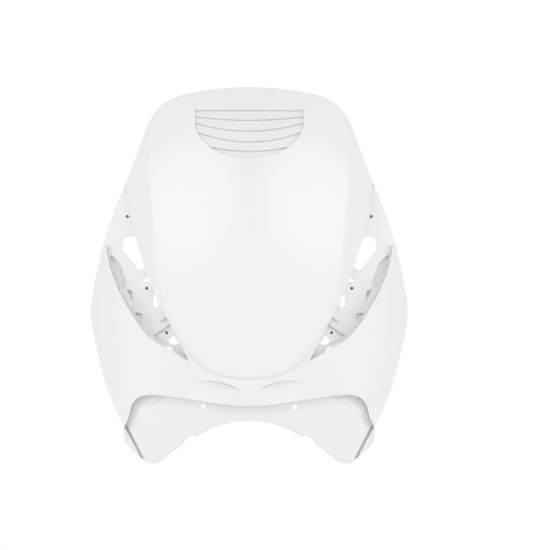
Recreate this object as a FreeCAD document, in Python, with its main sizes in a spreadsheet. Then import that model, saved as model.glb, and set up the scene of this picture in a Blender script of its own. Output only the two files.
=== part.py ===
"""Scooter front panel: one injection-moulded shell with a raised bonnet, a louvred vent,
two lamp recesses, swept wings and a lower skirt cut out over the mudguard.

Millimetres.  +Z is up, -Y faces forward and X runs across the scooter.  The origin lies on
the symmetry plane, midway between the two lower screw holes.

The shell is modelled the way its mould makes it: an outer form (the cavity) less the same form
set back by the wall (the core).  A form is a stack of layers.  Each layer is a front-view outline
drawn along Y and closed by a doubly curved front surface, so everything leaves the mould.
The right half is built and then mirrored.
"""
import FreeCAD
import Part
import Sketcher
import math
import os
from FreeCAD import Placement, Rotation, Vector

doc = FreeCAD.newDocument("scooter_front_panel")

# Driving dimensions in millimetres and degrees: alias, value, meaning
SIZES = [
    ("half_width", 210, "widest point from the symmetry plane"),
    ("height", 497, "toes to crown"),
    ("wall", 2.5, "moulded wall"),
    ("nose_height", 120, "foremost point above the toes"),
    ("lean_radius", 646, "side-view radius that leans the front back"),
    ("wing_radius", 245, "plan-view radius of the wings"),
    ("wing_setback", 2, "wings behind the bonnet at the nose"),
    ("bonnet_radius", 400, "plan-view radius of the bonnet"),
    ("flank_draft", 42, "slope of the bonnet's flanks against the draw"),
    ("crease_round", 5, "rounding of the bonnet's edge"),
    ("skirt_step", 10, "skirt behind the wings"),
    ("toe_step", 18, "toe flanges behind the wings"),
    ("crease_draft", 8, "slope of the skirt's side creases against the draw"),
    ("groove_depth", 5, "grooves along the skirt's side creases, behind the toe flanges"),
    ("edge_return", 24, "rear edge of the panel's rim behind the wings"),
    ("edge_band", 6, "band along the outline in which the rim is trimmed"),
    ("floor_yaw", 29, "lamp recess floor turned outwards"),
    ("floor_pitch", 11, "lamp recess floor turned upwards"),
    ("floor_tip_depth", 12, "lamp recess at its lower tip"),
    ("tip_wall_draft", 20, "slope of the recess's lower wall against the draw"),
    ("sump_depth", 4, "hollows below the lamp recess floor"),
    ("vent_depth", 11, "frame of the vent"),
    ("slat_thickness", 2.2, "vent slats along the draw"),
    ("slat_proud", 0.6, "lower edge of a slat behind the bonnet"),
    ("slat_sunk", 3.8, "upper edge of a slat behind the bonnet"),
    ("slat_lap", 3, "overlap of one slat behind the next"),
    ("slat_bite", 1, "slat ends let into the vent frame"),
    ("screw_half_span", 60.3, "lower screw holes from the symmetry plane"),
    ("screw_height", 75, "lower screw holes above the toes"),
    ("screw_hole_radius", 3.5, "lower screw holes"),
    ("screw_boss_radius", 8, "bosses behind the lower screw holes"),
    ("screw_boss_length", 12, "bosses behind the lower screw holes"),
    ("lamp_screw_radius", 2, "lamp screw holes"),
    ("lamp_screw_depth", 9, "lamp screw holes, which are blind"),
    ("locating_hole_radius", 1.2, "peg holes beside the upper lamp screw"),
    ("lamp_boss_radius", 4.5, "bosses behind the lamp screw holes"),
    ("lamp_boss_length", 12, "bosses behind the lamp screw holes"),
    ("rib_thickness", 1.6, "ribs on the lamp recess floor"),
    ("rib_height", 3.5, "ribs on the lamp recess floor"),
    ("dent_depth", 1, "lower edge of the skirt's corner dents"),
    ("dent_tilt", 14, "floor of the corner dents turned upwards from the skirt"),
    ("scoop_depth", 2.2, "scoops beside the nose at their middle"),
]

# Front-view outlines of the right half as (half width, height above the toes), at the drawn size
DRAWN_HALF_WIDTH = 210
DRAWN_HEIGHT = 497
PANEL_SIDE = [  # from the crown down to the knee
    (0, 497), (78, 489.5), (103, 482), (117, 473), (146, 416), (166, 366),
    (190, 302), (205, 239), (210, 197), (203, 154), (185, 91), (164.5, 48),
]
PANEL_FOOT = [  # toe flange, toe and the steps beside the arch, each with its corner radius
    (166, 45, 0.5), (165.5, 27, 9), (149, 11, 8), (128, -5.5, 20), (87, 26.5, 3), (84.5, 32, 2), (75, 38, 2),
]
ARCH = [(69, 36), (0, 57)]
BONNET = [  # from beyond the crown down to the tip of the nose
    (0, 522), (98, 503), (131, 455), (135, 400), (128, 308), (105, 199), (76, 149), (42, 118), (0, 110),
]
FOLD = [(0, 75.5), (60, 81.5), (105, 88), (130, 90), (147.5, 85), (155, 74), (158, 62), (166, 45), (171, 36)]
CREASE = [(163, 52), (141, 9)]  # the skirt's edge beside the toe flange
GROOVE = [(160.5, 48.5, 0.4), (164, 46.5, 0.4), (141.5, 4.5, 0.4), (138.8, 6.3, 0.4)]
GROOVE_MIDDLE = (151.2, 26.4)
LAMP_INNER = [(163, 367), (151.5, 304), (123.5, 222), (95, 166), (79.5, 135)]
LAMP_OUTER = [(79.5, 135), (117, 152.5), (159, 204), (183, 255), (189, 287)]
TIP_WALL = [(79.5, 135), (128, 163)]
SUMPS = [
    [(185, 276, 1), (171, 262, 12), (163.5, 238, 2), (167, 230.5, 1.5), (178.5, 251, 20)],
    [(161.4, 228.4, 0.6), (154.9, 226, 0.6), (155, 214, 0.6)],
    [(150.9, 198, 0.6), (141.6, 196.7, 0.6), (142, 186, 0.6)],
]
BULB_OPENING = [(151.5, 299.5, 3), (168.5, 299, 9), (168.5, 281, 9), (147, 253.5, 5), (137, 257.5, 5)]
LAMP_SLOTS = [
    [(141.9, 239.2, 1), (133, 247.1, 1), (131.5, 238.4, 1)],
    [(127, 222, 1), (122.5, 221, 1), (118.5, 209, 1), (121, 205, 1), (127, 206, 1)],
    [(107.4, 162.4, 1), (99.4, 168.7, 1), (92.3, 157.6, 1), (102, 155.8, 1)],
]
LAMP_SCREWS = [(135.3, 230.3), (108.6, 172), (161.6, 325.5)]
LOCATING_HOLES = [(166.7, 327), (161.9, 335)]
RIBS = [[(118.7, 186.4), (109, 192.7)], [(126, 168.7), (106, 182.4)]]
DENT = [
    (110, 88, 1), (118, 83, 8), (132, 74.5, 12), (143, 67, 8), (150, 63, 2), (154, 68, 2), (158, 97, 2),
    (114, 97, 1),
]
DENT_HINGE = (132, 74.5)
SCOOP = (65.4, 93)
SCOOP_HALF_SIZE = (53, 4, 17)
SCOOP_TURN = 7.3
VENT_FRAME = [(72, 473), (71, 444), (61, 426), (42, 411.5), (0, 403.5)]
SLAT_EDGES = [  # height, rise at the ends
    (466, 0), (453, 5), (438.5, 11), (424, 14.5), (411.5, 11), (399, 10),
]
SLAT_STATIONS = (-0.1, 0, 0.35, 0.7, 1.05)  # shares of the vent's half width

sheet = doc.addObject("Spreadsheet::Sheet", "Sizes")
for row, (alias, value, meaning) in enumerate(SIZES, start=1):
    sheet.set(f"A{row}", str(value))
    sheet.setAlias(f"A{row}", alias)
    sheet.set(f"B{row}", meaning)
doc.recompute()


def size(alias):
    """The value of a cell of the sheet."""
    return float(sheet.get(alias))


# Reach of forms and drills beyond the panel: they only have to enclose it or pass through it
HEIGHT_SHARE = size("height") / DRAWN_HEIGHT  # a taller panel leans further back
SIDE_REACH = size("half_width") + 6
TOP_REACH = size("height") + 100
BACK_REACH = 240 * HEIGHT_SHARE
MARGIN = 10
DRAW_FRONT = 60
DRAW_BACK = 300
BLOCK_FRONT = 100
BLOCK_BACK = 200 * HEIGHT_SHARE
BLOCK_BELOW = 200
BLOCK_SIZE = 1000
SPACE_REACH = 400
FLANK_FRONT = 40
FLANK_BACK = 110
LAMP_DRILL_LEAD = 20
PEG_DRILL_REACH = 10
SCREW_DRILL_REACH = 40
TURN = 120  # degrees that a front surface is revolved by

CURVE_POINTS = 21
CREASE_TOLERANCE = 0.05
PLANE_CLEARANCE = 1  # an edge nearer the middle plane than this is where the halves meet


def bind(obj, **formulas):
    """Binds properties of a document object to cells; a dot in a path is written as __."""
    for path, formula in formulas.items():
        obj.setExpression(path.replace("__", "."), formula)
    return obj


# Front surfaces

def front_surface(label, radius, apex, inset="0"):
    """Everything behind a doubly curved front surface: a plan-view arc turned about an axis far
    behind the panel.  radius and apex are formulas; inset sets the surface back parallel to itself."""
    profile = doc.addObject("Sketcher::SketchObject", label + "_profile")
    start_radius = SIDE_REACH + MARGIN
    swing = math.asin(SIDE_REACH / start_radius)
    corner_y = start_radius - math.sqrt(start_radius ** 2 - SIDE_REACH ** 2)
    circle = Part.Circle(Vector(0, start_radius, 0), Vector(0, 0, 1), start_radius)
    profile.addGeometry(Part.ArcOfCircle(circle, 1.5 * math.pi - swing, 1.5 * math.pi + swing))
    corners = [
        Vector(SIDE_REACH, corner_y, 0),
        Vector(SIDE_REACH, BACK_REACH, 0),
        Vector(-SIDE_REACH, BACK_REACH, 0),
        Vector(-SIDE_REACH, corner_y, 0),
    ]
    for start, end in zip(corners, corners[1:]):
        profile.addGeometry(Part.LineSegment(start, end))
    profile.addConstraint([
        Sketcher.Constraint("Coincident", 0, 2, 1, 1),
        Sketcher.Constraint("Coincident", 1, 2, 2, 1),
        Sketcher.Constraint("Coincident", 2, 2, 3, 1),
        Sketcher.Constraint("Coincident", 3, 2, 0, 1),
        Sketcher.Constraint("Vertical", 1),
        Sketcher.Constraint("Horizontal", 2),
        Sketcher.Constraint("Vertical", 3),
        Sketcher.Constraint("PointOnObject", 0, 3, -2),
        Sketcher.Constraint("DistanceX", -1, 1, 1, 1, SIDE_REACH),
        Sketcher.Constraint("DistanceX", 3, 1, -1, 1, SIDE_REACH),
        Sketcher.Constraint("DistanceY", -1, 1, 2, 1, BACK_REACH),
    ])
    bow = profile.addConstraint(Sketcher.Constraint("Radius", 0, start_radius))
    centre = profile.addConstraint(Sketcher.Constraint("DistanceY", -1, 1, 0, 3, start_radius))
    profile.renameConstraint(bow, "bow")
    profile.renameConstraint(centre, "centre")
    bind(profile, Constraints__bow=f"{radius} - ({inset})", Constraints__centre=f"{radius} + {apex}",
         Placement__Base__z="Sizes.nose_height")
    turned = doc.addObject("Part::Revolution", label)
    turned.Source = profile
    turned.Axis = Vector(1, 0, 0)
    turned.Angle = TURN
    turned.Symmetric = True
    turned.Solid = True
    return bind(turned, Base__y=f"Sizes.lean_radius + {apex}", Base__z="Sizes.nose_height")


def surface_y(x, z, radius, apex, inset=0):
    """Where a front surface, set back by inset, lies at a front-view point."""
    arc = radius - inset
    reach = size("lean_radius") - inset - arc + math.sqrt(arc ** 2 - x ** 2)
    return apex + size("lean_radius") - math.sqrt(reach ** 2 - (z - size("nose_height")) ** 2)


def bonnet_y(p, inset=0):
    return surface_y(p.x, p.z, size("bonnet_radius"), 0, inset)


def wing_y(p, inset=0):
    return surface_y(p.x, p.z, size("wing_radius"), size("wing_setback"), inset)


# Outlines

def at(x, z):
    """A front-view point of the drawing, at the panel's size."""
    return Vector(x * size("half_width") / DRAWN_HALF_WIDTH, 0, z * size("height") / DRAWN_HEIGHT)


def points(stations):
    return [at(x, z) for x, z in stations]


def mirrored(row):
    """The same points on the other half, in reverse order."""
    return [Vector(-p.x, p.y, p.z) for p in reversed(row)]


def spline(row, closed=False):
    curve = Part.BSplineCurve()
    curve.interpolate(row, PeriodicFlag=closed)
    return curve


def symmetric(row):
    """A row that starts on the symmetry plane, led on from its mirror image."""
    return mirrored(row)[:-1] + row


def polyline(row):
    return [Part.makeLine(a, b) for a, b in zip(row, row[1:])]


def corner_arc(before, corner, after, radius):
    """The arc that rounds a corner between two straight lines."""
    back = (before - corner).normalize()
    ahead = (after - corner).normalize()
    half = back.getAngle(ahead) / 2
    reach = radius / math.tan(half)
    middle = corner + (back + ahead).normalize() * (radius / math.sin(half) - radius)
    return Part.Arc(corner + back * reach, middle, corner + ahead * reach).toShape()


def rounded(stations, start=None, end=None):
    """Lines through stations of (x, z, corner radius): closed, or open from start to end."""
    row = [at(x, z) for x, z, radius in stations]
    before = [start or row[-1]] + row[:-1]
    after = row[1:] + [end or row[0]]
    arcs = [corner_arc(b, p, a, s[2]) for b, p, a, s in zip(before, row, after, stations)]
    edges = arcs[:1]
    for last, arc in zip(arcs, arcs[1:]):
        edges += [Part.makeLine(last.lastVertex().Point, arc.firstVertex().Point), arc]
    if start is None:
        return Part.Wire(edges + [Part.makeLine(arcs[-1].lastVertex().Point, arcs[0].firstVertex().Point)])
    return ([Part.makeLine(start, arcs[0].firstVertex().Point)] + edges
            + [Part.makeLine(arcs[-1].lastVertex().Point, end)])


def outline(label, wire):
    """A front-view outline as an object of the document."""
    feature = doc.addObject("Part::Feature", label)
    feature.Shape = wire
    return feature


def grown(base, label, amount):
    """An outline offset outwards, or inwards where amount is negative, its curves drawn as splines."""
    edges = []
    for edge in base.Shape.makeOffset2D(amount).OrderedEdges:
        if edge.Curve.TypeId in ("Part::GeomLine", "Part::GeomCircle"):
            edges.append(edge)
        else:
            edges.append(spline(edge.discretize(Number=CURVE_POINTS)).toShape())
    return outline(label, Part.Wire(edges))


def shifted(row, amount):
    """A spline's points moved to its left by amount."""
    curve = spline(row)
    moved = []
    for p in row:
        t = curve.tangent(curve.parameter(p))[0]
        moved.append(p + Vector(-t.z, 0, t.x) * amount)
    return moved


# Solids

def drawn(base, label):
    """An outline extruded along the draw direction, right through the panel."""
    prism = doc.addObject("Part::Extrusion", label)
    prism.Base = base
    prism.DirMode = "Custom"
    prism.Dir = Vector(0, 1, 0)
    prism.LengthFwd = DRAW_BACK
    prism.LengthRev = DRAW_FRONT
    prism.Solid = True
    return prism


def common(label, *shapes):
    both = doc.addObject("Part::MultiCommon", label)
    both.Shapes = list(shapes)
    return both


def fused(label, *shapes):
    fuse = doc.addObject("Part::MultiFuse", label)
    fuse.Shapes = list(shapes)
    return fuse


def cut(label, base, tool):
    rest = doc.addObject("Part::Cut", label)
    rest.Base = base
    rest.Tool = tool
    return rest


def rounded_edges(label, base, radius, chosen):
    """A fillet on the edges of base that chosen() picks."""
    doc.recompute()
    fillet = doc.addObject("Part::Fillet", label)
    fillet.Base = base
    fillet.Edges = [(i, radius, radius) for i, e in enumerate(base.Shape.Edges, start=1) if chosen(e)]
    return fillet


def along(edge, count=5):
    """Points spread along an edge."""
    first, last = edge.ParameterRange
    return [edge.valueAt(first + (last - first) * (i + 0.5) / count) for i in range(count)]


def rod(label, front, radius, length):
    """A cylinder that runs back along the draw from a point; radius and length are formulas."""
    cylinder = doc.addObject("Part::Cylinder", label)
    cylinder.Placement = Placement(front, Rotation(Vector(1, 0, 0), -90))
    return bind(cylinder, Radius=radius, Height=length)


def sloping(point, yaw, pitch):
    """A floor through a point, turned outwards by yaw and upwards by pitch."""
    return Placement(point, Rotation(Vector(0, 0, 1), yaw).multiply(Rotation(Vector(1, 0, 0), -pitch)))


def in_front_of(label, floor, depth):
    """The space in front of a sloping floor that is set back by a formula."""
    space = doc.addObject("Part::Box", label)
    space.Length = space.Height = 2 * SPACE_REACH
    corner = Vector(-SPACE_REACH, -SPACE_REACH, -SPACE_REACH)
    space.Placement = floor.multiply(Placement(corner, Rotation()))
    return bind(space, Width=f"{SPACE_REACH} + {depth}")


def tangent_floor(p, setback, depth, tilt):
    """A floor that lies a depth behind the wings' surface, itself moved by setback, at a front-view
    point, turned upwards by tilt from the surface there."""
    across = wing_y(p + Vector(1, 0, 0)) - wing_y(p)
    upwards = wing_y(p + Vector(0, 0, 1)) - wing_y(p)
    yaw = math.atan(across)
    pitch = math.atan(upwards * math.cos(yaw))
    base = p + Vector(0, wing_y(p) + setback + depth, 0)
    return sloping(base, math.degrees(yaw), math.degrees(pitch) + tilt)


def leaning(row, setback, draft):
    """A wall through two front-view points on the wings' surface moved by setback.  Its left side,
    seen from the first point, leans over the draw by draft degrees."""
    first, last = [p + Vector(0, wing_y(p) + setback, 0) for p in row]
    run = (last - first).normalize()
    outwards = Vector(0, 1, 0).cross(run)
    slope = math.radians(draft)
    normal = outwards * math.cos(slope) + Vector(0, 1, 0) * math.sin(slope)
    return Placement(first, Rotation(run, normal, run.cross(normal), "XYZ"))


def floor_point(floor, p):
    """Where a sloping floor lies at a front-view point."""
    normal = floor.Rotation.multVec(Vector(0, 1, 0))
    run = floor.Base - p
    return p + Vector(0, run.dot(normal) / normal.y, 0)


# Outlines of the panel, its layers and what is sunk into them

side = points(PANEL_SIDE)
arch_end, arch_crown = points(ARCH)
foot = rounded(PANEL_FOOT, start=side[-1], end=arch_end)
other_foot = [e.mirror(Vector(), Vector(1, 0, 0)) for e in foot]
panel_outline = outline("panel_outline", Part.Wire(Part.__sortEdges__(
    [spline(symmetric(side)).toShape(), Part.Arc(arch_end, arch_crown, mirrored([arch_end])[0]).toShape()]
    + foot + other_foot)))

bonnet_points = points(BONNET)
bonnet_loop = bonnet_points + mirrored(bonnet_points)[1:-1]
bonnet_curve = spline(bonnet_loop, closed=True)

lamp_inner = points(LAMP_INNER)
lamp_outer = points(LAMP_OUTER)
lamp_open = [lamp_outer[-1], Vector(SIDE_REACH, 0, lamp_outer[-1].z), Vector(SIDE_REACH, 0, lamp_inner[0].z)]
lamp_outline = outline("lamp_outline", Part.Wire(
    [spline(lamp_inner).toShape(), spline(lamp_outer).toShape()] + polyline(lamp_open + lamp_inner[:1])))
sump_outlines = [outline(f"sump_outline_{i}", rounded(row)) for i, row in enumerate(SUMPS, start=1)]
dent_outline = outline("dent_outline", rounded(DENT))
groove_outline = outline("groove_outline", rounded(GROOVE))

vent = points(VENT_FRAME)
vent_outline = outline("vent_outline", Part.Wire(
    [spline(vent[1:] + mirrored(vent[1:])[1:]).toShape()]
    + polyline([mirrored(vent)[-2], mirrored(vent)[-1], vent[0], vent[1]])))


def wing_area(label, inset):
    """Everything above the fold, which is moved up by inset."""
    fold = shifted(symmetric(points(FOLD)), inset)
    floor = fold[0].z
    reach = SIDE_REACH + MARGIN
    frame = [fold[-1], Vector(reach, 0, floor), Vector(reach, 0, TOP_REACH),
             Vector(-reach, 0, TOP_REACH), Vector(-reach, 0, floor), fold[0]]
    return outline(label, Part.Wire([spline(fold).toShape()] + polyline(frame)))


def flank(label, inset):
    """The bonnet's block: ruled flanks that pass through the bonnet's edge with an even draft,
    between two flat ends parallel to the bonnet's lean."""
    spread = math.tan(math.radians(size("flank_draft")))
    inwards = inset / math.cos(math.radians(size("flank_draft")))
    top, tip = bonnet_points[0], bonnet_points[-1]
    lean = (bonnet_y(top) - bonnet_y(tip)) / (top.z - tip.z)
    ends = []
    for depth in (-FLANK_FRONT, FLANK_BACK):
        row = []
        for station in bonnet_loop:
            t = bonnet_curve.tangent(bonnet_curve.parameter(station))[0]
            n = Vector(-t.z, 0, t.x)
            p = station - n * inwards
            end = bonnet_y(tip) + lean * (p.z - tip.z) + depth
            run = (end - bonnet_y(p)) / (1 - lean * n.z * spread)
            row.append(p + n * run * spread + Vector(0, bonnet_y(p) + run, 0))
        ends.append(Part.Wire(spline(row, closed=True).toShape()))
    block = doc.addObject("Part::Feature", label)
    block.Shape = Part.makeLoft(ends, True, True)
    return block


# Floors and leaning walls of the lamp recess and the skirt

lamp_tip = lamp_inner[-1]
lamp_floor = sloping(lamp_tip + Vector(0, wing_y(lamp_tip) + size("floor_tip_depth"), 0),
                     size("floor_yaw"), size("floor_pitch"))
tip_wall = leaning(points(TIP_WALL), 0, size("tip_wall_draft"))
crease_wall = leaning(points(CREASE)[::-1], size("skirt_step"), -size("crease_draft"))
dent_floor = tangent_floor(at(*DENT_HINGE), size("skirt_step"), size("dent_depth"), size("dent_tilt"))
groove_floor = tangent_floor(at(*GROOVE_MIDDLE), size("toe_step"), size("groove_depth"), 0)
scoop_middle = at(*SCOOP)
scoop_middle.y = wing_y(scoop_middle) + size("scoop_depth") - SCOOP_HALF_SIZE[1]


def is_crease(edge):
    """The bonnet's edge, where its front surface meets the flanks."""
    return edge.Length > size("half_width") / 2 and all(
        abs(p.y - bonnet_y(p)) < CREASE_TOLERANCE and p.x > PLANE_CLEARANCE for p in along(edge))


def form(suffix, inset):
    """The right half of the panel's outside, set back by a formula: its layers, less what is
    sunk into them."""
    shift = size("wall") if inset == "Sizes.wall" else 0

    def area(base):
        if not shift:
            return drawn(base, f"{base.Label}_{suffix}")
        return drawn(grown(base, f"{base.Label}_{suffix}_inset", -shift), f"{base.Label}_{suffix}")

    def sunk(label, base, floor, depth):
        edge = grown(base, f"{label}_{suffix}_edge", shift) if shift else base
        return common(f"{label}_{suffix}", drawn(edge, f"{label}_{suffix}_prism"),
                      in_front_of(f"{label}_{suffix}_space", floor, f"{depth} + {inset}"))

    setback = "Sizes.wing_setback"
    wing = front_surface("wing_" + suffix, "Sizes.wing_radius", setback, inset)
    skirt_face = front_surface("skirt_" + suffix, "Sizes.wing_radius", setback + " + Sizes.skirt_step", inset)
    toe_face = front_surface("toe_" + suffix, "Sizes.wing_radius", setback + " + Sizes.toe_step", inset)
    bonnet = front_surface("bonnet_" + suffix, "Sizes.bonnet_radius", "0", inset)
    half = doc.addObject("Part::Box", "right_half_" + suffix)
    half.Length = half.Height = BLOCK_SIZE
    half.Width = BLOCK_FRONT + BLOCK_BACK
    half.Placement.Base = Vector(0, -BLOCK_FRONT, -BLOCK_BELOW)

    wing_prism = drawn(wing_area("wing_area_" + suffix, shift), "wing_prism_" + suffix)
    wing_layer = common("wing_layer_" + suffix, wing, wing_prism, half)
    bonnet_layer = common("bonnet_layer_" + suffix, flank("flank_" + suffix, shift), bonnet, half)
    if not shift:
        bonnet_layer = rounded_edges("bonnet_rounded", bonnet_layer, size("crease_round"), is_crease)
    skirt_block = common("skirt_block_" + suffix, skirt_face, half,
                         in_front_of("skirt_side_" + suffix, crease_wall, f"-({inset})"))
    skirt_layer = cut("skirt_layer_" + suffix, skirt_block, sunk("dent", dent_outline, dent_floor, "0"))
    stack = fused("stack_" + suffix, toe_face, skirt_layer, wing_layer, bonnet_layer)
    whole = common("whole_" + suffix, stack, area(panel_outline), half)

    scoop = doc.addObject("Part::Ellipsoid", "scoop_" + suffix)
    scoop.Placement = Placement(scoop_middle, Rotation(Vector(0, 0, 1), SCOOP_TURN))
    scoop.Angle1 = -90
    across, deep, tall = SCOOP_HALF_SIZE
    bind(scoop, Radius2=f"{across} + {inset}", Radius3=f"{deep} + {inset}", Radius1=f"{tall} + {inset}")
    recess = common("recess_" + suffix, sunk("lamp_recess", lamp_outline, lamp_floor, "0"),
                    in_front_of("tip_space_" + suffix, tip_wall, inset))
    hollows = [recess, scoop, sunk("groove", groove_outline, groove_floor, "0")]
    hollows += [sunk(f"sump_{i}", base, lamp_floor, "Sizes.sump_depth")
                for i, base in enumerate(sump_outlines, start=1)]
    if shift:
        rear = front_surface("vent_rear", "Sizes.bonnet_radius", "0", "Sizes.vent_depth")
        frame_edge = grown(vent_outline, "vent_frame_edge", shift)
        hollows.append(cut("vent_frame", drawn(frame_edge, "vent_frame_prism"), rear))
    return cut("form_" + suffix, whole, fused("hollows_" + suffix, *hollows))


# The shell, with its rim trimmed along the edge and the vent opened

outside = form("outer", "0")
shell = cut("shell", outside, form("inner", "Sizes.wall"))
rear_edge = front_surface("rear_edge", "Sizes.wing_radius", "Sizes.wing_setback + Sizes.edge_return")
band_edge = grown(panel_outline, "edge_band_inside", -size("edge_band"))
rear_band = cut("rear_band", rear_edge, drawn(band_edge, "edge_band_prism"))
trimmed = cut("trimmed_shell", shell, rear_band)
opened = cut("opened_shell", trimmed, drawn(vent_outline, "vent_opening"))


# Vent slats: shingles whose lower edges stand almost flush with the bonnet

def slat_line(height, rise, behind):
    """A line across the vent that rises towards its end and follows the bonnet."""
    half_span = at(VENT_FRAME[0][0], 0).x
    row = []
    for share in SLAT_STATIONS:
        p = at(0, height + rise * share ** 2) + Vector(half_span * share, 0, 0)
        row.append(p + Vector(0, bonnet_y(p) + behind, 0))
    return spline(row).toShape()


slat_ends = drawn(grown(vent_outline, "slat_edge", size("slat_bite")), "slat_ends")
right_half = doc.getObjectsByLabel("right_half_outer")[0]
slats = []
top_edge = (VENT_FRAME[0][1] + size("slat_bite") - size("slat_lap"), 0)
for i, (upper, lower) in enumerate(zip([top_edge] + SLAT_EDGES, SLAT_EDGES), start=1):
    behind = size("slat_proud") if upper == top_edge else size("slat_sunk")
    face = Part.makeRuledSurface(
        slat_line(lower[0], lower[1], size("slat_proud")),
        slat_line(upper[0] + size("slat_lap"), upper[1], behind))
    sheet_of_slat = outline(f"slat_face_{i}", face)
    blade = doc.addObject("Part::Extrusion", f"slat_blade_{i}")
    blade.Base = sheet_of_slat
    blade.DirMode = "Custom"
    blade.Dir = Vector(0, 1, 0)
    blade.Solid = True
    bind(blade, LengthFwd="Sizes.slat_thickness")
    slats.append(common(f"slat_{i}", blade, slat_ends, right_half))


# Lamp fixings on the recess floor and lower screw bosses

def on_lamp_floor(x, z):
    return floor_point(lamp_floor, at(x, z))


bosses = []
drills = []
for i, (x, z) in enumerate(LAMP_SCREWS, start=1):
    seat = on_lamp_floor(x, z) + Vector(0, size("wall") / 2, 0)
    bosses.append(rod(f"lamp_boss_{i}", seat, "Sizes.lamp_boss_radius", "Sizes.lamp_boss_length"))
    drills.append(rod(f"lamp_screw_hole_{i}", seat - Vector(0, LAMP_DRILL_LEAD, 0),
                      "Sizes.lamp_screw_radius", f"Sizes.lamp_screw_depth + {LAMP_DRILL_LEAD}"))
for i, (x, z) in enumerate(LOCATING_HOLES, start=1):
    start = on_lamp_floor(x, z) - Vector(0, PEG_DRILL_REACH, 0)
    drills.append(rod(f"locating_hole_{i}", start, "Sizes.locating_hole_radius", f"{2 * PEG_DRILL_REACH}"))
for i, row in enumerate(LAMP_SLOTS + [BULB_OPENING], start=1):
    drills.append(drawn(outline(f"lamp_slot_{i}", rounded(row)), f"lamp_slot_prism_{i}"))

ribs = []
for i, row in enumerate(RIBS, start=1):
    first, last = points(row)
    across = (last - first).normalize().cross(Vector(0, 1, 0)) * (size("rib_thickness") / 2)
    corners = [first + across, last + across, last - across, first - across]
    prism = drawn(outline(f"rib_outline_{i}", Part.Wire(polyline(corners + corners[:1]))), f"rib_prism_{i}")
    space = doc.addObject("Part::Box", f"rib_space_{i}")
    space.Length = space.Height = 2 * SPACE_REACH
    corner = Vector(-SPACE_REACH, -size("rib_height"), -SPACE_REACH)
    space.Placement = lamp_floor.multiply(Placement(corner, Rotation()))
    bind(space, Width="Sizes.rib_height + Sizes.wall / 2")
    ribs.append(common(f"rib_{i}", prism, space))

screw = Vector(size("screw_half_span"), 0, size("screw_height"))
screw.y = wing_y(screw) + size("skirt_step")
seat = screw + Vector(0, size("wall") / 2, 0)
bosses.append(rod("screw_boss", seat, "Sizes.screw_boss_radius", "Sizes.screw_boss_length"))
drills.append(rod("screw_hole", screw - Vector(0, SCREW_DRILL_REACH, 0), "Sizes.screw_hole_radius",
                  f"Sizes.screw_boss_length + {2 * SCREW_DRILL_REACH}"))

seated_bosses = common("seated_bosses", outside, fused("bosses", *bosses))
solid_half = fused("solid_half", opened, seated_bosses, *slats, *ribs)
right = cut("right_side", solid_half, fused("openings", *drills))
left = doc.addObject("Part::Mirroring", "left_side")
left.Source = right
left.Normal = Vector(1, 0, 0)

panel = fused("front_panel", right, left)
panel.Placement.Base = Vector(0, -screw.y, -screw.z)
doc.recompute()

for obj in doc.Objects:
    if "Invalid" in obj.State or "Error" in obj.State:
        raise RuntimeError(f"{obj.Label} failed: {obj.State}")
if panel.Shape.isNull() or not panel.Shape.isValid() or len(panel.Shape.Solids) != 1:
    raise RuntimeError("front_panel is not one valid solid")

os.makedirs("parts", exist_ok=True)
panel.Shape.Solids[0].exportStep(f"parts/{panel.Label}.step")
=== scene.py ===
"""A bare scooter front panel in gloss white plastic, seen straight from the front in a high-key studio."""
import math

import bpy
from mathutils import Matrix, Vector


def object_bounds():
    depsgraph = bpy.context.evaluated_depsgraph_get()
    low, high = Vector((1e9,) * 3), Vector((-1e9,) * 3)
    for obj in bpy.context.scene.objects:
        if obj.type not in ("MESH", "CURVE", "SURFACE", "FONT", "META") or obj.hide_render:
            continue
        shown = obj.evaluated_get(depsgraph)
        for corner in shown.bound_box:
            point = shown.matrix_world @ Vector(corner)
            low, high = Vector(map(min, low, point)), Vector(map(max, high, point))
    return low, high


# Metres and watts throughout; +Z is up and the panel faces -Y
FRAME_WIDTH = 0.726          # what the square picture spans at the panel
CAMERA_DISTANCE = 9.0
PICTURE_CENTRE = Vector((0.034, 0.05, 0.173))
SENSOR_WIDTH = 36.0          # millimetres

PANEL_WHITE = (0.83, 0.83, 0.835, 1)
REAR_WHITE = (0.76, 0.76, 0.765, 1)
PANEL_ROUGHNESS = 0.2
REAR_ROUGHNESS = 0.5
ROUGHNESS_SPREAD = 0.03
SHEEN_SIZE = 0.03            # patches of slightly different gloss
PLASTIC_IOR = 1.5
REAR_BLEND = 0.1             # share of a normal that points back where the rear finish is complete
EDGE_ROUNDING = 0.002
EDGE_SAMPLES = 8
PEEL_SIZE = 0.0014           # dimples of the orange peel
PEEL_DEPTH = 0.00001
GRAIN_SIZE = 0.0006          # texture of the moulded rear
GRAIN_DEPTH = 0.00006

WHITE = (1, 1, 1, 1)
ROOM_STRENGTH = 0.505
FLOOR_DROP = 0.35            # floor below the toes
FLOOR_SIZE = 4.0
FLOOR_WHITE = (0.9, 0.9, 0.9, 1)
FLOOR_ROUGHNESS = 0.9
SHADOW_NEAR = 0.4            # the floor's shadow is kept within this reach of the panel
SHADOW_FAR = 1.4             # and has faded into the white by here
SHADOW_SHARE = 0.6

# Round soft lamps: name, place, diameter, power and whether the gloss mirrors the lamp.
# The side lamps aren't mirrored, or the bonnet's far edge would bleach out in views from the side.
PAIRED_LAMPS = [
    ("front_softbox", (1.1, -1.8, 2.0), 1.7, 11, True),
    ("side_softbox", (2.3, -0.5, 0.25), 1.6, 12, False),
]
MIDDLE_LAMPS = [
    ("fill_softbox", (0, -2.5, 0.3), 2.0, 13, False),
    ("rear_softbox", (0, 2.4, 1.4), 1.8, 12, True),
]

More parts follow.
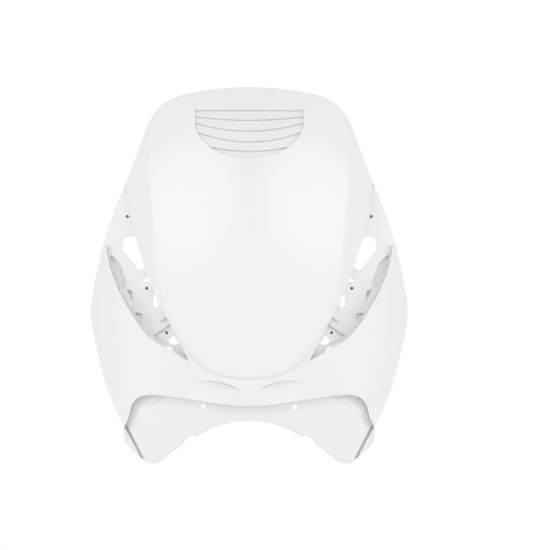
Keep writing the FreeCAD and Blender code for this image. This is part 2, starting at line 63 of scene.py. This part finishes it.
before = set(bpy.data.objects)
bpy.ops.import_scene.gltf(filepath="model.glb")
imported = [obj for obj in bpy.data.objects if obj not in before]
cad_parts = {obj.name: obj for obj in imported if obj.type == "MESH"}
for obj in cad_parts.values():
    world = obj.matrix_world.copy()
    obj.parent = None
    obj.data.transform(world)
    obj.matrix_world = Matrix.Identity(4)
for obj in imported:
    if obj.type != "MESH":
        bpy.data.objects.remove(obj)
cad_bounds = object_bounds()
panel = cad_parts["front_panel"]
middle = (cad_bounds[0] + cad_bounds[1]) / 2


def node(tree, kind, **values):
    """A new shader node with constant values on its inputs."""
    new = tree.nodes.new("ShaderNode" + kind)
    for name, value in values.items():
        new.inputs[name.replace("_", " ")].default_value = value
    return new


def noise(tree, size, detail=2.0):
    """Noise in the object's own metres with features of about the given size."""
    place = node(tree, "TexCoord")
    texture = node(tree, "TexNoise", Scale=1 / size, Detail=detail)
    tree.links.new(place.outputs["Object"], texture.inputs["Vector"])
    return texture.outputs["Fac"]


def mixed(tree, kind, share, front, back):
    """A value or colour that goes from front to back as share goes from 0 to 1."""
    mix = node(tree, "Mix")
    mix.data_type = kind
    tree.links.new(share, mix.inputs[0])
    sockets = [s for s in mix.inputs if s.enabled][1:]
    for socket, value in zip(sockets, (front, back)):
        if isinstance(value, bpy.types.NodeSocket):
            tree.links.new(value, socket)
        else:
            socket.default_value = value
    return next(s for s in mix.outputs if s.enabled)


def gloss_white_plastic():
    """Gloss white moulded plastic: a fine orange peel on the show side, a satin grain on the rear."""
    material = bpy.data.materials.new("gloss_white_plastic")
    material.use_nodes = True
    tree = material.node_tree
    plastic = tree.nodes["Principled BSDF"]
    plastic.inputs["IOR"].default_value = PLASTIC_IOR

    geometry = node(tree, "NewGeometry")
    facing = node(tree, "SeparateXYZ")
    tree.links.new(geometry.outputs["True Normal"], facing.inputs["Vector"])
    rear = node(tree, "MapRange", From_Min=0.0, From_Max=REAR_BLEND)
    tree.links.new(facing.outputs["Y"], rear.inputs["Value"])
    is_rear = rear.outputs["Result"]

    colour = mixed(tree, "RGBA", is_rear, PANEL_WHITE, REAR_WHITE)
    tree.links.new(colour, plastic.inputs["Base Color"])

    sheen = node(tree, "MapRange", To_Min=PANEL_ROUGHNESS - ROUGHNESS_SPREAD,
                 To_Max=PANEL_ROUGHNESS + ROUGHNESS_SPREAD)
    tree.links.new(noise(tree, SHEEN_SIZE), sheen.inputs["Value"])
    roughness = mixed(tree, "FLOAT", is_rear, sheen.outputs["Result"], REAR_ROUGHNESS)
    tree.links.new(roughness, plastic.inputs["Roughness"])

    rounding = node(tree, "Bevel", Radius=EDGE_ROUNDING)
    rounding.samples = EDGE_SAMPLES
    peel = noise(tree, PEEL_SIZE, detail=0.0)
    relief = mixed(tree, "FLOAT", is_rear, peel, noise(tree, GRAIN_SIZE))
    depth = mixed(tree, "FLOAT", is_rear, PEEL_DEPTH, GRAIN_DEPTH)
    bump = node(tree, "Bump")
    tree.links.new(relief, bump.inputs["Height"])
    tree.links.new(depth, bump.inputs["Distance"])
    tree.links.new(rounding.outputs["Normal"], bump.inputs["Normal"])
    tree.links.new(bump.outputs["Normal"], plastic.inputs["Normal"])
    return material


def seen_directly(tree):
    """1 for what the camera, a reflection or a refraction sees, and 0 for light on the panel."""
    path = node(tree, "LightPath")
    share = path.outputs["Is Camera Ray"]
    for name in ("Is Glossy Ray", "Is Transmission Ray"):
        either = node(tree, "Math")
        either.operation = "MAXIMUM"
        tree.links.new(share, either.inputs[0])
        tree.links.new(path.outputs[name], either.inputs[1])
        share = either.outputs["Value"]
    return share


def show_white(tree, kind, share, surface, output):
    """Mixes a plain white over a surface by share."""
    white = node(tree, kind, Color=WHITE, Strength=1.0)
    mix = node(tree, "MixShader")
    tree.links.new(share, mix.inputs[0])
    tree.links.new(surface.outputs[0], mix.inputs[1])
    tree.links.new(white.outputs[0], mix.inputs[2])
    tree.links.new(mix.outputs[0], output.inputs["Surface"])


def white_room():
    """Even light from all around, in a room that is plain white to look at."""
    world = bpy.data.worlds.new("white_room")
    world.use_nodes = True
    bpy.context.scene.world = world
    tree = world.node_tree
    light = tree.nodes["Background"]
    light.inputs["Color"].default_value = WHITE
    light.inputs["Strength"].default_value = ROOM_STRENGTH
    show_white(tree, "Background", seen_directly(tree), light, tree.nodes["World Output"])


def studio_floor():
    """A pale floor below the panel: it keeps the panel's shadow and fades into the white room."""
    ground = (middle.x, middle.y, cad_bounds[0].z - FLOOR_DROP)
    bpy.ops.mesh.primitive_plane_add(size=FLOOR_SIZE, location=ground)
    floor = bpy.context.object
    floor.name = "studio_floor"
    material = bpy.data.materials.new("studio_floor_white")
    material.use_nodes = True
    tree = material.node_tree
    matte = tree.nodes["Principled BSDF"]
    matte.inputs["Base Color"].default_value = FLOOR_WHITE
    matte.inputs["Roughness"].default_value = FLOOR_ROUGHNESS

    place = node(tree, "TexCoord")
    reach = node(tree, "VectorMath")
    reach.operation = "LENGTH"
    tree.links.new(place.outputs["Object"], reach.inputs[0])
    fade = node(tree, "MapRange", From_Min=SHADOW_NEAR, From_Max=SHADOW_FAR,
                To_Min=1 - SHADOW_SHARE, To_Max=1.0)
    fade.interpolation_type = "SMOOTHSTEP"
    tree.links.new(reach.outputs["Value"], fade.inputs["Value"])
    share = node(tree, "Math")
    share.operation = "MULTIPLY"
    tree.links.new(seen_directly(tree), share.inputs[0])
    tree.links.new(fade.outputs["Result"], share.inputs[1])
    show_white(tree, "Emission", share.outputs["Value"], matte, tree.nodes["Material Output"])
    floor.data.materials.append(material)


def softbox(name, place, size, power, mirrored):
    """A round soft lamp that faces the panel."""
    lamp = bpy.data.lights.new(name, "AREA")
    lamp.shape = "DISK"
    lamp.size = size
    lamp.energy = power
    light = bpy.data.objects.new(name, lamp)
    bpy.context.collection.objects.link(light)
    light.visible_glossy = mirrored
    light.location = place
    light.rotation_euler = (middle - Vector(place)).to_track_quat("-Z", "Y").to_euler()


def front_camera():
    """A long lens straight in front, framed as the photograph is."""
    lens = bpy.data.cameras.new("front_camera")
    lens.sensor_width = SENSOR_WIDTH
    lens.lens = SENSOR_WIDTH * CAMERA_DISTANCE / FRAME_WIDTH
    camera = bpy.data.objects.new("front_camera", lens)
    bpy.context.collection.objects.link(camera)
    camera.location = PICTURE_CENTRE - Vector((0, CAMERA_DISTANCE, 0))
    camera.rotation_euler = (math.pi / 2, 0, 0)
    bpy.context.scene.camera = camera


bpy.context.scene.view_settings.view_transform = "Standard"
panel.data.materials.clear()
panel.data.materials.append(gloss_white_plastic())
white_room()
studio_floor()
for side in (-1, 1):
    for name, (x, y, z), *settings in PAIRED_LAMPS:
        softbox(name, (side * x, y, z), *settings)
for lamp in MIDDLE_LAMPS:
    softbox(*lamp)
front_camera()
